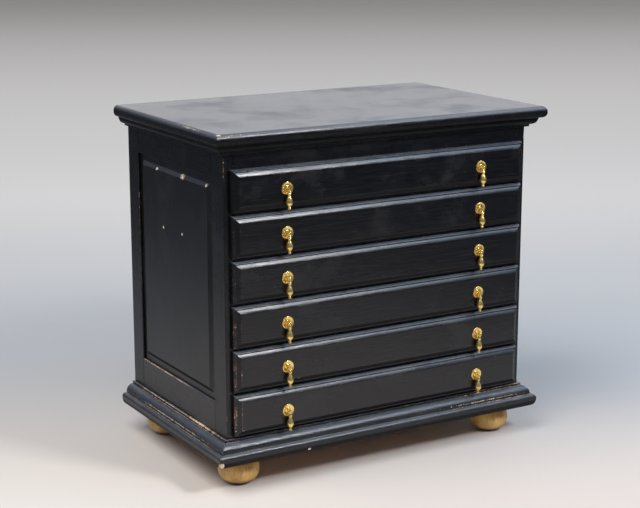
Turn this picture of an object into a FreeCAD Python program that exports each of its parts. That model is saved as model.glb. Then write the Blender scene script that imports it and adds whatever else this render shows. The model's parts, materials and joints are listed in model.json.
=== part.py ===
import FreeCAD, Part
import math
import os

# A low chest of six shallow drawers. Millimetres. +X runs along the front, to the viewer's right,
# +Y from the front to the back and +Z up. The origin is on the floor under the middle of the whole
# piece, halfway between the front edge of the top and the flush back.

Vec = FreeCAD.Vector

# ---- driving dimensions: the case ----
case_width = 681.5
case_depth = 421.0
side_thickness = 21.0
foot_height = 56.0
plinth_height = 47.5
cornice_height = 19.0
top_thickness = 23.5
top_side_overhang = 30.0
top_front_overhang = 35.0
top_nose_radius = 10.0
nose_share = 0.48            # most of the top's thickness that its nose radius may take
base_thickness = 12.0
back_thickness = 10.0
back_plank_count = 4
back_plank_gap = 1.0

# ---- driving dimensions: the drawer stack ----
drawer_count = 6
drawer_height = 81.0
drawer_gap = 4.5
drawer_side_reveal = 12.0
frieze_reveal = 28.3
plinth_reveal = 3.7
lip_overlap = 6.0
lip_edge = 7.5
lip_back_gap = 0.5
rail_depth = 40.0
rail_front_thickness = 21.0
runner_width = 15.0

# ---- driving dimensions: the moulded border of a drawer front ----
outer_bevel_width = 3.5
outer_bevel_rise = 4.0
border_flat = 1.8
inner_bevel_width = 7.7
inner_bevel_rise = 4.0
inner_bevel_bulge = 0.9

# ---- driving dimensions: a drawer's box ----
drawer_block_depth = 12.0
drawer_side_thickness = 10.0
drawer_back_thickness = 10.0
drawer_bottom_thickness = 5.0
drawer_bottom_lift = 8.0
drawer_side_clearance = 1.0
drawer_run_clearance = 0.5
drawer_head_clearance = 1.0
side_head_room = 7.5
drawer_rear_clearance = 13.0
groove_depth = 5.0
groove_clearance = 0.25
tail_count = 3
tail_length = 8.0
tail_slope = 1.6
tail_share = 0.62
back_housing = 4.0

# ---- driving dimensions: the side frames ----
front_stile = 48.5
rear_stile = 47.0
top_rail_reveal = 49.5
bottom_rail_reveal = 60.0
frame_groove_depth = 8.0
panel_tongue = 6.0
panel_tongue_thickness = 6.0
panel_sink = 5.0
panel_margin = 13.5
panel_bevel = 8.0
panel_field_sink = 0.5

# ---- driving dimensions: the mouldings, as steps out from the case and heights ----
cornice_fillet_step = 7.0
cornice_fillet_height = 4.5
cornice_ovolo_out = 12.0
cornice_ovolo_height = 10.0
cornice_lip_step = 1.0
plinth_bead_out = 5.0
plinth_bead_height = 5.5
plinth_bead_bulge = 0.6
plinth_bead_set_back = 1.0
plinth_ovolo_out = 15.0
plinth_ovolo_height = 14.5
plinth_riser = 3.0
plinth_tread = 4.0
plinth_nose_out = 6.0
plinth_nose_rise = 7.5
plinth_nose_undercut = 9.0

# ---- driving dimensions: a bun foot ----
foot_radius = 40.5
foot_flat_radius = 17.0
foot_inset_side = 43.75
foot_inset_front = 38.0
foot_inset_rear = 60.0
dowel_radius = 10.0
dowel_length = 9.0
dowel_clearance = 0.1
dowel_end_clearance = 1.0

# ---- driving dimensions: a drop pull ----
pull_inset = 120.6
pull_shift = 2.5
pull_from_top = 41.0
pull_hand_error = (0.5, -1.3, -1.1, 0.3, 1.3, 2.2)    # how far below its line each pair was fixed
plate_radius = 12.5
plate_rim = 1.6
plate_bead = 2.2
plate_dish = 1.1
plate_dish_lip = 0.3
plate_boss_radius = 4.8
plate_boss_shoulder = 3.6
plate_boss_flat = 1.9
plate_boss = 2.0
plate_boss_round = 0.2
wire_radius = 0.9
wire_spread = 3.1
wire_bend = 1.3
drop_gap = 1.4
wire_bite = 10.0
wire_hole_clearance = 0.1
eye_radius = 3.8
eye_thickness = 3.4
eye_clearance = 0.25
neck_radius = 2.9
collar_radius = 4.0
collar_bead = 0.4
waist_radius = 2.7
drop_radius = 6.9
drop_length = 39.0
lower_waist_radius = 2.5
tip_radius = 3.3
tip_end_radius = 2.2

# how far down the drop each turning lies, as shares of its length
neck_at = 0.06
collar_top_at = 0.205
collar_at = 0.225
collar_foot_at = 0.25
waist_at = 0.31
shoulder_at = 0.49
belly_at = 0.64
under_belly_at = 0.77
lower_waist_at = 0.84
tip_at = 0.91
tip_foot_at = 0.96
shoulder_share = 0.8         # of the belly's radius, where its upper curve passes
under_belly_share = 0.82     # of the belly's radius, where its lower curve passes

# ---- dependent sizes ----
half_width = case_width / 2.0
back_y = (case_depth + top_front_overhang) / 2.0
front_y = back_y - case_depth
inner_half = half_width - side_thickness
plinth_top = foot_height + plinth_height
stack_bottom = plinth_top + plinth_reveal
drawer_pitch = drawer_height + drawer_gap
stack_top = stack_bottom + drawer_count * drawer_pitch - drawer_gap
cornice_bottom = stack_top + frieze_reveal
case_top = cornice_bottom + cornice_height
floor_top = foot_height + base_thickness
back_face_y = back_y - back_thickness
rail_height = drawer_gap + 2.0 * lip_overlap
opening_height = drawer_height - 2.0 * lip_overlap
drawer_side_height = opening_height - drawer_run_clearance - side_head_room

border_width = outer_bevel_width + border_flat + inner_bevel_width
lip_half = half_width - drawer_side_reveal
lip_back_y = front_y - lip_back_gap
edge_y = lip_back_y - lip_edge
flat_y = edge_y - outer_bevel_rise
field_y = flat_y - inner_bevel_rise

box_half = inner_half - drawer_side_clearance
side_inner = box_half - drawer_side_thickness
block_back_y = lip_back_y + drawer_block_depth
box_rear_y = back_face_y - drawer_rear_clearance
drawer_back_y = box_rear_y - drawer_back_thickness

wire_standoff = drop_radius + drop_gap
pivot_y = field_y - wire_standoff
pull_places = (pull_inset - half_width + pull_shift, half_width - pull_inset + pull_shift)


# ---- small helpers ----
def box(x0, x1, y0, y1, z0, z1):
    return Part.makeBox(x1 - x0, y1 - y0, z1 - z0, Vec(x0, y0, z0))


def outline_face(start, steps, to_point):
    """A closed face. Each step is (end,) for a line or (middle, end) for an arc, in two numbers
    that to_point turns into a point of space."""
    edges = []
    here = start
    for step in steps + [(start,)]:
        if len(step) == 1:
            edges.append(Part.LineSegment(to_point(*here), to_point(*step[0])).toShape())
        else:
            arc = Part.Arc(to_point(*here), to_point(*step[0]), to_point(*step[1]))
            edges.append(arc.toShape())
        here = step[-1]
    return Part.Face(Part.Wire(edges))


def across_x(start, steps, x0, x1):
    """Extrude an outline drawn in (y, z) from x0 to x1."""
    face = outline_face(start, steps, lambda y, z: Vec(x0, y, z))
    return face.extrude(Vec(x1 - x0, 0, 0))


def across_y(start, steps, y0, y1):
    """Extrude an outline drawn in (x, z) from y0 to y1."""
    face = outline_face(start, steps, lambda x, z: Vec(x, y0, z))
    return face.extrude(Vec(0, y1 - y0, 0))


def across_z(start, steps, z0, z1):
    """Extrude an outline drawn in (x, y) from z0 to z1."""
    face = outline_face(start, steps, lambda x, y: Vec(x, y, z0))
    return face.extrude(Vec(0, 0, z1 - z0))


def cylinder(radius, length, base, direction):
    return Part.makeCylinder(radius, length, base, direction)


def turned(start, steps, centre, axis):
    """Turn an outline drawn in (radius, height) about an axis through centre."""
    face = outline_face(start, steps, lambda r, h: Vec(r, 0, h))
    solid = face.revolve(Vec(0, 0, 0), Vec(0, 0, 1), 360)
    solid.Placement = FreeCAD.Placement(centre, FreeCAD.Rotation(Vec(0, 0, 1), axis))
    return solid


def mirrored(shape):
    """The same piece on the other side of the chest."""
    return shape.mirror(Vec(0, 0, 0), Vec(1, 0, 0))


def moved(shape, x, z):
    """A copy of a shape, moved along the front and up."""
    copy = shape.copy()
    copy.translate(Vec(x, 0, z))
    return copy


def write(node, *solids):
    """One STEP file for one node, made of one or more separate solids."""
    clean = []
    for solid in solids:
        found = solid.removeSplitter().Solids
        if len(found) != 1 or not found[0].isValid() or found[0].Volume < 1.0:
            raise ValueError("bad solid in " + node)
        clean.append(found[0])
    shape = clean[0] if len(clean) == 1 else Part.makeCompound(clean)
    shape.exportStep("parts/" + node + ".step")


# ---- mouldings: top, cornice and plinth ----
def top_board():
    left = -half_width - top_side_overhang
    front = front_y - top_front_overhang
    low = case_top
    high = case_top + top_thickness
    nose = min(top_nose_radius, nose_share * top_thickness)
    bulge = nose * (1.0 - math.sqrt(0.5))
    front_steps = [
        ((front + bulge, low + bulge), (front, low + nose)),
        ((front, high - nose),),
        ((front + bulge, high - bulge), (front + nose, high)),
        ((back_y, high),),
        ((back_y, low),),
    ]
    long_way = across_x((front + nose, low), front_steps, left, -left)
    side_steps = [
        ((left + bulge, low + bulge), (left, low + nose)),
        ((left, high - nose),),
        ((left + bulge, high - bulge), (left + nose, high)),
        ((-left - nose, high),),
        ((-left - bulge, high - bulge), (-left, high - nose)),
        ((-left, low + nose),),
        ((-left - bulge, low + bulge), (-left - nose, low)),
    ]
    cross_way = across_y((left + nose, low), side_steps, front, back_y)
    return long_way.common(cross_way)


def cornice_profile():
    """(out, z) from the case face, from the lower inner corner round to the top."""
    out0 = cornice_fillet_step
    z0 = cornice_bottom + cornice_fillet_height
    out1 = out0 + cornice_ovolo_out
    z1 = z0 + cornice_ovolo_height
    turn = math.sqrt(0.5)
    steps = [
        ((out0, cornice_bottom),),
        ((out0, z0),),
        ((out0 + cornice_ovolo_out * turn, z1 - cornice_ovolo_height * turn), (out1, z1)),
        ((out1 + cornice_lip_step, z1),),
        ((out1 + cornice_lip_step, case_top),),
        ((0.0, case_top),),
    ]
    return (0.0, cornice_bottom), steps


def plinth_profile():
    """(out, z) from the case face: nose, tread, riser, ovolo and bead, from the bottom up."""
    out_riser = plinth_bead_out + plinth_ovolo_out
    out_tread = out_riser + plinth_tread
    out_nose = out_tread + plinth_nose_out
    z_bead = plinth_top - plinth_bead_height
    z_riser = z_bead - plinth_ovolo_height
    z_tread = z_riser - plinth_riser
    z_nose = z_tread - plinth_nose_rise
    turn = math.sqrt(0.5)
    foot_out = out_nose - plinth_nose_undercut
    lower_mid = (foot_out + plinth_nose_undercut * turn,
                 foot_height + (z_nose - foot_height) * (1.0 - turn))
    upper_mid = (out_tread + plinth_nose_out * turn, z_tread - plinth_nose_rise * (1.0 - turn))
    ovolo_mid = (plinth_bead_out + plinth_ovolo_out * turn, z_riser + plinth_ovolo_height * turn)
    bead_mid = (plinth_bead_out + plinth_bead_bulge, z_bead + 0.5 * plinth_bead_height)
    steps = [
        ((foot_out, foot_height),),
        (lower_mid, (out_nose, z_nose)),
        (upper_mid, (out_tread, z_tread)),
        ((out_riser, z_tread),),
        ((out_riser, z_riser),),
        (ovolo_mid, (plinth_bead_out, z_bead)),
        (bead_mid, (plinth_bead_out - plinth_bead_set_back, plinth_top)),
        ((0.0, plinth_top),),
    ]
    return (0.0, foot_height), steps


def moved_profile(profile, place):
    """Turn (out, z) pairs into the pairs of another plane."""
    start, steps = profile
    return place(*start), [tuple(place(*point) for point in step) for step in steps]


def front_moulding(profile, reach):
    """Runs along the front, mitred at both corners. reach is more than it stands out."""
    start, steps = moved_profile(profile, lambda out, z: (front_y - out, z))
    bar = across_x(start, steps, -half_width - reach, half_width + reach)
    corners = [
        ((half_width, front_y),),
        ((half_width + reach, front_y - reach),),
        ((-half_width - reach, front_y - reach),),
    ]
    return bar.common(across_z((-half_width, front_y), corners, 0.0, case_top))


def right_moulding(profile, reach):
    """Runs back along the right side, mitred at the front and square at the back."""
    start, steps = moved_profile(profile, lambda out, z: (half_width + out, z))
    bar = across_y(start, steps, front_y - reach, back_y)
    corners = [
        ((half_width, back_y),),
        ((half_width + reach, back_y),),
        ((half_width + reach, front_y - reach),),
    ]
    return bar.common(across_z((half_width, front_y), corners, 0.0, case_top))


def mouldings():
    reach = 2.0 * (top_side_overhang + top_front_overhang)
    for name, profile in (("cornice", cornice_profile()), ("plinth", plinth_profile())):
        right = right_moulding(profile, reach)
        write(name + "_front", front_moulding(profile, reach))
        write(name + "_right", right)
        write(name + "_left", mirrored(right))


# ---- side frames, described for the right side ----
panel_low = plinth_top + bottom_rail_reveal
panel_high = cornice_bottom - top_rail_reveal
panel_front = front_y + front_stile
panel_rear = back_y - rear_stile
tongue_outer = half_width - panel_sink
tongue_inner = tongue_outer - panel_tongue_thickness


def side_stiles():
    front = box(inner_half, half_width, front_y, panel_front, floor_top, case_top)
    rear = box(inner_half, half_width, panel_rear, back_y, floor_top, case_top)
    groove_front = panel_front - frame_groove_depth
    groove_rear = panel_rear + frame_groove_depth
    groove = box(tongue_inner, tongue_outer, groove_front, groove_rear, floor_top, case_top)
    return [front.cut(groove), rear.cut(groove)]


def side_rails():
    """Top and bottom rails with stub tenons that fill the ends of the stile grooves."""
    rails = []
    groove = box(tongue_inner, tongue_outer, panel_front, panel_rear,
                 panel_low - frame_groove_depth, panel_high + frame_groove_depth)
    for low, high in ((floor_top, panel_low), (panel_high, case_top)):
        body = box(inner_half, half_width, panel_front, panel_rear, low, high)
        tenon_low = low if low == floor_top else low + frame_groove_depth
        tenon_high = high if high == case_top else high - frame_groove_depth
        tenon = box(tongue_inner, tongue_outer, panel_front - frame_groove_depth,
                    panel_rear + frame_groove_depth, tenon_low, tenon_high)
        rails.append(body.cut(groove).fuse(tenon))
    return rails


def raised_outline(low, high):
    """(x, along) outline of the panel's cross-section between two edges of the opening."""
    margin_low = low + panel_margin
    margin_high = high - panel_margin
    field_x = half_width - panel_field_sink
    start = (tongue_inner, low - panel_tongue)
    steps = [
        ((tongue_outer, low - panel_tongue),),
        ((tongue_outer, margin_low),),
        ((field_x, margin_low + panel_bevel),),
        ((field_x, margin_high - panel_bevel),),
        ((tongue_outer, margin_high),),
        ((tongue_outer, high + panel_tongue),),
        ((tongue_inner, high + panel_tongue),),
    ]
    return start, steps


def side_panel():
    start, steps = raised_outline(panel_front, panel_rear)
    upright = across_z(start, steps, panel_low - panel_tongue, panel_high + panel_tongue)
    start, steps = raised_outline(panel_low, panel_high)
    level = across_y(start, steps, panel_front - panel_tongue, panel_rear + panel_tongue)
    return upright.common(level)


def sides():
    pieces = {"stiles": side_stiles(), "rails": side_rails(), "panel": [side_panel()]}
    for name, solids in pieces.items():
        write("side_right_" + name, *solids)
        write("side_left_" + name, *[mirrored(solid) for solid in solids])


# ---- inside the case ----
def lip_low(number):
    """Lower edge of a drawer front. Drawer 1 is the top one."""
    return stack_bottom + (drawer_count - number) * drawer_pitch


def opening_low(number):
    return lip_low(number) + lip_overlap


def carcase():
    frieze_low = opening_low(1) + opening_height
    write("frieze_rail", box(-inner_half, inner_half, front_y, front_y + rail_front_thickness,
                             frieze_low, case_top))
    write("bottom_rail", box(-inner_half, inner_half, front_y, front_y + rail_depth,
                             floor_top, opening_low(drawer_count)))
    rails = []
    runners = []
    for number in range(1, drawer_count + 1):
        high = opening_low(number)
        if number < drawer_count:
            rails.append(box(-inner_half, inner_half, front_y, front_y + rail_depth,
                             high - rail_height, high))
        runner = box(inner_half - runner_width, inner_half, front_y + rail_depth, back_face_y,
                     high - rail_height, high)
        runners.extend([mirrored(runner), runner])
    write("drawer_rails", *rails)
    write("runners", *runners)


def back_boards():
    pitch = (2.0 * inner_half + back_plank_gap) / back_plank_count
    planks = []
    for number in range(back_plank_count):
        left = -inner_half + number * pitch
        planks.append(box(left, left + pitch - back_plank_gap, back_face_y, back_y,
                          floor_top, case_top))
    write("back_boards", *planks)


def foot_places():
    """Name and (x, y) of each foot's centre."""
    x = half_width - foot_inset_side
    near = front_y + foot_inset_front
    far = back_y - foot_inset_rear
    return {"foot_front_left": (-x, near), "foot_front_right": (x, near),
            "foot_rear_left": (-x, far), "foot_rear_right": (x, far)}


def base_board():
    board = box(-half_width, half_width, front_y, back_y, foot_height, floor_top)
    depth = dowel_length + dowel_end_clearance
    for x, y in foot_places().values():
        hole = cylinder(dowel_radius + dowel_clearance, depth, Vec(x, y, foot_height), Vec(0, 0, 1))
        board = board.cut(hole)
    return board


def bun_foot(x, y):
    """A flattened ball with flat ends and a dowel turned on its top."""
    middle = foot_height / 2.0
    steps = [
        ((foot_flat_radius, 0.0),),
        ((foot_radius, middle), (foot_flat_radius, foot_height)),
        ((dowel_radius, foot_height),),
        ((dowel_radius, foot_height + dowel_length),),
        ((0.0, foot_height + dowel_length),),
    ]
    return turned((0.0, 0.0), steps, Vec(x, y, 0.0), Vec(0, 0, 1))


# ---- drawers ----
def moulded_outline(low, high):
    """(y, along) outline of a drawer front's section, with the moulded border at both edges."""
    bevel = outer_bevel_width
    flat = bevel + border_flat
    field = border_width
    rise = 0.5 * (flat_y + field_y) - inner_bevel_bulge
    half_step = flat + 0.5 * inner_bevel_width - inner_bevel_bulge
    start = (lip_back_y, low)
    steps = [
        ((edge_y, low),),
        ((flat_y, low + bevel),),
        ((flat_y, low + flat),),
        ((rise, low + half_step), (field_y, low + field)),
        ((field_y, high - field),),
        ((rise, high - half_step), (flat_y, high - flat)),
        ((flat_y, high - bevel),),
        ((edge_y, high),),
        ((lip_back_y, high),),
    ]
    return start, steps


def tail_rows(low):
    """(low, high) of each dovetail at its narrow root, spread over a drawer side from low."""
    pitch = drawer_side_height / tail_count
    width = pitch * tail_share
    rows = []
    for number in range(tail_count):
        middle = low + (number + 0.5) * pitch
        rows.append((middle - 0.5 * width, middle + 0.5 * width))
    return rows


def tails(low, x0, x1):
    """Dovetails that reach forward from a drawer side into the front."""
    solids = []
    root = block_back_y
    tip = block_back_y - tail_length
    for row_low, row_high in tail_rows(low):
        steps = [
            ((root, row_high),),
            ((tip, row_high + tail_slope),),
            ((tip, row_low - tail_slope),),
        ]
        solids.append(across_x((root, row_low), steps, x0, x1))
    return solids


def drawer_front(number):
    low = lip_low(number)
    block_low = opening_low(number) + drawer_run_clearance
    block_high = opening_low(number) + opening_height - drawer_head_clearance
    start, steps = moulded_outline(low, low + drawer_height)
    level = across_x(start, steps, -lip_half, lip_half)
    start, steps = moulded_outline(-lip_half, lip_half)
    flipped = [tuple((along, y) for y, along in step) for step in steps]
    upright = across_z((start[1], start[0]), flipped, low, low + drawer_height)
    front = level.common(upright)
    front = front.fuse(box(-box_half, box_half, lip_back_y, block_back_y, block_low, block_high))
    for tail in tails(block_low, side_inner, box_half):
        front = front.cut(tail).cut(mirrored(tail))
    groove_low = block_low + drawer_bottom_lift
    groove = box(-side_inner, side_inner, block_back_y - groove_depth, block_back_y,
                 groove_low, groove_low + drawer_bottom_thickness)
    front = front.cut(groove)
    for x in pull_places:
        for leg_x in (x - wire_spread, x + wire_spread):
            hole = cylinder(wire_radius + wire_hole_clearance, wire_bite + wire_hole_clearance,
                            Vec(leg_x, field_y, pull_height(number)), Vec(0, 1, 0))
            front = front.cut(hole)
    return front


def drawer_box(number):
    """Two sides dovetailed to the front, and a back housed between them over the bottom."""
    low = opening_low(number) + drawer_run_clearance
    bottom_low = low + drawer_bottom_lift
    bottom_high = bottom_low + drawer_bottom_thickness
    side = box(side_inner, box_half, block_back_y, box_rear_y, low, low + drawer_side_height)
    side = side.multiFuse(tails(low, side_inner, box_half))
    side = side.cut(box(side_inner, side_inner + groove_depth, block_back_y, box_rear_y,
                        bottom_low, bottom_high))
    back_low = bottom_high
    back_high = low + drawer_side_height
    side = side.cut(box(side_inner, side_inner + back_housing, drawer_back_y - back_housing,
                        box_rear_y - back_housing, back_low, back_high))
    reach = side_inner + back_housing
    back = box(-reach, reach, drawer_back_y - back_housing, box_rear_y - back_housing,
               back_low, back_high)
    return [mirrored(side), side, back]


def drawer_bottom(number):
    low = opening_low(number) + drawer_run_clearance + drawer_bottom_lift
    high = low + drawer_bottom_thickness
    reach = side_inner + groove_depth - groove_clearance
    panel = box(-reach, reach, block_back_y + groove_clearance, box_rear_y, low, high)
    tongue_reach = side_inner - groove_clearance
    tongue = box(-tongue_reach, tongue_reach, block_back_y - groove_depth + groove_clearance,
                 block_back_y + groove_clearance, low, high)
    return panel.fuse(tongue)


# ---- drop pulls, modelled once at x = 0 and z = 0 ----
def pull_height(number):
    hand_error = pull_hand_error[number - 1] if number <= len(pull_hand_error) else 0.0
    return lip_low(number) + drawer_height - pull_from_top - hand_error


def pull_plate():
    """A dished round plate with a beaded rim and a small boss, bored for the wire's two legs."""
    bead_middle = plate_radius - plate_rim
    dish_edge = plate_radius - 2.0 * plate_rim
    dish_middle = 0.5 * (dish_edge + plate_boss_radius)
    steps = [
        ((plate_radius, 0.0),),
        ((plate_radius, 0.5 * plate_bead),),
        ((bead_middle, plate_bead), (dish_edge, plate_dish + plate_dish_lip)),
        ((dish_middle, plate_dish), (plate_boss_radius, plate_dish + plate_boss_round)),
        ((plate_boss_shoulder, plate_boss - plate_boss_round), (plate_boss_flat, plate_boss)),
        ((0.0, plate_boss),),
    ]
    plate = turned((0.0, 0.0), steps, Vec(0, field_y, 0), Vec(0, -1, 0))
    for leg_x in (-wire_spread, wire_spread):
        plate = plate.cut(cylinder(wire_radius + wire_hole_clearance, plate_bead + plate_boss,
                                   Vec(leg_x, field_y, 0), Vec(0, -1, 0)))
    return plate


def pull_wire():
    """A bent wire: two legs through the plate into the drawer front and a bar between them."""
    inside_y = field_y + wire_bite
    corner_y = pivot_y + wire_bend
    bar = wire_spread - wire_bend
    slack = wire_bend * (1.0 - math.sqrt(0.5))
    left_elbow = Part.Arc(Vec(-wire_spread, corner_y, 0), Vec(slack - wire_spread, pivot_y + slack, 0),
                          Vec(-bar, pivot_y, 0))
    right_elbow = Part.Arc(Vec(bar, pivot_y, 0), Vec(wire_spread - slack, pivot_y + slack, 0),
                           Vec(wire_spread, corner_y, 0))
    runs = [
        Part.LineSegment(Vec(-wire_spread, inside_y, 0), Vec(-wire_spread, corner_y, 0)),
        left_elbow,
        Part.LineSegment(Vec(-bar, pivot_y, 0), Vec(bar, pivot_y, 0)),
        right_elbow,
        Part.LineSegment(Vec(wire_spread, corner_y, 0), Vec(wire_spread, inside_y, 0)),
    ]
    path = Part.Wire([run.toShape() for run in runs])
    end = Part.makeCircle(wire_radius, Vec(-wire_spread, inside_y, 0), Vec(0, -1, 0))
    return path.makePipeShell([Part.Wire(end)], True, False)


def pull_drop():
    """A turned teardrop that hangs on the bar by a flat eye. Heights are below the bar."""
    def ring(radius, share):
        return radius, -share * drop_length

    steps = [
        (ring(neck_radius, neck_at),),
        (ring(collar_radius, collar_top_at),),
        (ring(collar_radius + collar_bead, collar_at), ring(collar_radius, collar_foot_at)),
        (ring(waist_radius, waist_at),),
        (ring(shoulder_share * drop_radius, shoulder_at), ring(drop_radius, belly_at)),
        (ring(under_belly_share * drop_radius, under_belly_at), ring(lower_waist_radius, lower_waist_at)),
        (ring(tip_radius, tip_at), ring(tip_end_radius, tip_foot_at)),
        (ring(0.0, 1.0),),
    ]
    body = turned(ring(0.0, neck_at), steps, Vec(0, pivot_y, 0), Vec(0, 0, 1))
    eye = cylinder(eye_radius, eye_thickness, Vec(-0.5 * eye_thickness, pivot_y, 0), Vec(1, 0, 0))
    hole = cylinder(wire_radius + eye_clearance, 4.0 * eye_radius,
                    Vec(-2.0 * eye_radius, pivot_y, 0), Vec(1, 0, 0))
    return body.fuse(eye).cut(hole)


def drawers():
    plate, wire, drop = pull_plate(), pull_wire(), pull_drop()
    for number in range(1, drawer_count + 1):
        name = "drawer_%d_" % number
        z = pull_height(number)
        write(name + "front", drawer_front(number))
        write(name + "box", *drawer_box(number))
        write(name + "bottom", drawer_bottom(number))
        write(name + "pull_plates", *[moved(piece, x, z) for piece in (plate, wire) for x in pull_places])
        for side, x in zip(("left", "right"), pull_places):
            write(name + "drop_" + side, moved(drop, x, z))


os.makedirs("parts", exist_ok=True)
write("top_board", top_board())
mouldings()
sides()
carcase()
back_boards()
write("base_board", base_board())
for foot, (foot_x, foot_y) in foot_places().items():
    write(foot, bun_foot(foot_x, foot_y))
drawers()
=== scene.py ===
# %% [markdown]
# # A black-painted chest of six shallow drawers
# The chest is a framed and panelled case on four turned feet, with a moulded top and plinth, six lipped
# drawers and twelve brass drop pulls. The joinery comes from the CAD frame, which fixes every size and
# every moving part. This lesson gives each piece its finish, and models again those pieces whose edges
# and turnings the eye reads first.

# %% Load the frame
import json
import math

import bmesh
import bpy
from mathutils import Matrix, Vector


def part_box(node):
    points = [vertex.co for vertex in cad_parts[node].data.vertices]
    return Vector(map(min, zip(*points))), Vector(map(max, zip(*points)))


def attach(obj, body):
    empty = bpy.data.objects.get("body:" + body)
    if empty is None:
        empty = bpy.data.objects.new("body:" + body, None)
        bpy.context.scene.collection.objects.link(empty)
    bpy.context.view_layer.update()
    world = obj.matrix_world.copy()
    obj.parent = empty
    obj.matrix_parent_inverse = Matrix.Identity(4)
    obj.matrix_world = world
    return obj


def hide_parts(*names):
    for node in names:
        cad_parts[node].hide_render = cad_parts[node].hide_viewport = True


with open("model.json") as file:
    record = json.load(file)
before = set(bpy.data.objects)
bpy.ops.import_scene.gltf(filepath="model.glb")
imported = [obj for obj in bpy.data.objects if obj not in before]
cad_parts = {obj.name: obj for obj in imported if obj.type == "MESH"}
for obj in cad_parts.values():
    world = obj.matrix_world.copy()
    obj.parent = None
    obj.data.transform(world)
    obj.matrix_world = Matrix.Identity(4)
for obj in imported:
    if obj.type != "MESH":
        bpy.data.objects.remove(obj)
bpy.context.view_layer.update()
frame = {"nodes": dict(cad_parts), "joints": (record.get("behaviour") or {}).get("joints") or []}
nodes = frame["nodes"]
bpy.ops.object.select_all(action="DESELECT")
MM = 0.001
DRAWERS = range(1, 7)

# %% [markdown]
# ## Hand tools
# Blender's operators act on whatever is selected, so each tool first leaves one piece selected and
# active. Faces and edges are picked in code by where they are and which way they face, which is what a
# modeller's eye does in a window.

# %% Hand tools: select, edit, pick


def only(piece):
    """Leave this piece, and nothing else, selected and active."""
    bpy.ops.object.select_all(action="DESELECT")
    piece.select_set(True)
    bpy.context.view_layer.objects.active = piece
    return piece


def begin_edit(piece, mode="FACE"):
    only(piece)
    bpy.ops.object.mode_set(mode="EDIT")
    bpy.ops.mesh.select_mode(type=mode)
    bpy.ops.mesh.select_all(action="DESELECT")


def end_edit():
    bpy.ops.object.mode_set(mode="OBJECT")


def pick_faces(test):
    """Select the faces whose centre and normal pass the test, and no others."""
    mesh = bpy.context.object.data
    form = bmesh.from_edit_mesh(mesh)
    for face in form.faces:
        face.select_set(False)
    chosen = [f for f in form.faces if test(f.calc_center_median(), f.normal)]
    for face in chosen:
        face.select_set(True)
    form.select_flush_mode()
    bmesh.update_edit_mesh(mesh)
    return len(chosen)


def pick_edges(test):
    """Select the edges whose two ends pass the test, and no others."""
    mesh = bpy.context.object.data
    form = bmesh.from_edit_mesh(mesh)
    for edge in form.edges:
        edge.select_set(False)
    chosen = [e for e in form.edges if test(e.verts[0].co, e.verts[1].co)]
    for edge in chosen:
        edge.select_set(True)
    form.select_flush_mode()
    bmesh.update_edit_mesh(mesh)
    return len(chosen)


def near(a, b, slack=2e-5):
    return abs(a - b) < slack


def block(name, low, high):
    """A box between two corners, with its place in its mesh."""
    low, high = Vector(low), Vector(high)
    bpy.ops.object.select_all(action="DESELECT")
    bpy.ops.mesh.primitive_cube_add(size=1.0, location=(low + high) / 2)
    piece = bpy.context.object
    piece.scale = high - low
    bpy.ops.object.transform_apply(location=True, rotation=True, scale=True)
    piece.name = name
    return piece


def apply_modifier(piece, kind, **settings):
    only(piece)
    modifier = piece.modifiers.new(kind.title(), kind)
    for key, value in settings.items():
        setattr(modifier, key, value)
    bpy.ops.object.modifier_apply(modifier=modifier.name)


def soften(piece, width, segments=2, angle=28.0):
    """Round every sharp arris by a small real radius, so that it catches the light."""
    apply_modifier(piece, "BEVEL", width=width, segments=segments, limit_method="ANGLE",
                   angle_limit=math.radians(angle), use_clamp_overlap=False, miter_outer="MITER_ARC")


def smooth(piece, angle=32.0):
    """Shade the curves smooth, and keep the large faces flat up to their eased arrises."""
    only(piece)
    bpy.ops.object.shade_smooth_by_angle(angle=math.radians(angle))
    apply_modifier(piece, "WEIGHTED_NORMAL", keep_sharp=True)


def copy_of(piece, name, shift=(0, 0, 0)):
    """A copy with its own mesh, moved by shift."""
    mesh = piece.data.copy()
    mesh.transform(Matrix.Translation(shift))
    twin = bpy.data.objects.new(name, mesh)
    bpy.context.scene.collection.objects.link(twin)
    return twin


def weld(piece):
    """Turn the loose triangles of a CAD copy back into whole flat faces."""
    begin_edit(piece, "VERT")
    bpy.ops.mesh.select_all(action="SELECT")
    bpy.ops.mesh.remove_doubles(threshold=1e-5)
    bpy.ops.mesh.dissolve_limited(angle_limit=math.radians(0.8))
    end_edit()


def joined(pieces, name):
    only(pieces[0])
    for piece in pieces[1:]:
        piece.select_set(True)
    bpy.ops.object.join()
    pieces[0].name = name
    return pieces[0]


# %% [markdown]
# ## Where paint rubs
# Paint goes first from the arrises that hands and dusters touch. Each vertex gets a number called
# "rub", 1 on an arris and 0 on a flat, and the paint reads it to know where to show the wood. A bevel
# leaves its arris as a narrow strip of faces between two wide ones, so the strips are found by width.
# Two more numbers are kept beside it: one where a face looks up, for dust and a painted sheen, and one
# where it looks down, for painted shade.

# %% Mark the arrises
DUST_AND_SHEEN_FROM = 0.15            # how far up a surface must face before dust and a painted sheen lie on it
UNDER_FROM = 0.08           # how far down it must face before it takes the painted shade
UNDER_BLEND = 0.2


def write_rub(piece, values):
    """Keep the rub of every vertex, the dust and painted sheen where it faces up, and how far it faces
    under, for the painted shade.
    """
    mesh = piece.data
    rises = [vertex.normal.z for vertex in mesh.vertices]
    dust_and_sheen = [max(0.0, rise - DUST_AND_SHEEN_FROM) / (1.0 - DUST_AND_SHEEN_FROM) for rise in rises]
    under = [min(1.0, max(0.0, -rise - UNDER_FROM) / UNDER_BLEND) for rise in rises]
    for name, numbers in (("rub", values), ("dust_and_sheen", dust_and_sheen), ("under", under)):
        attribute = mesh.attributes.new(name, "FLOAT", "POINT")
        attribute.data.foreach_set("value", numbers)


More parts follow.
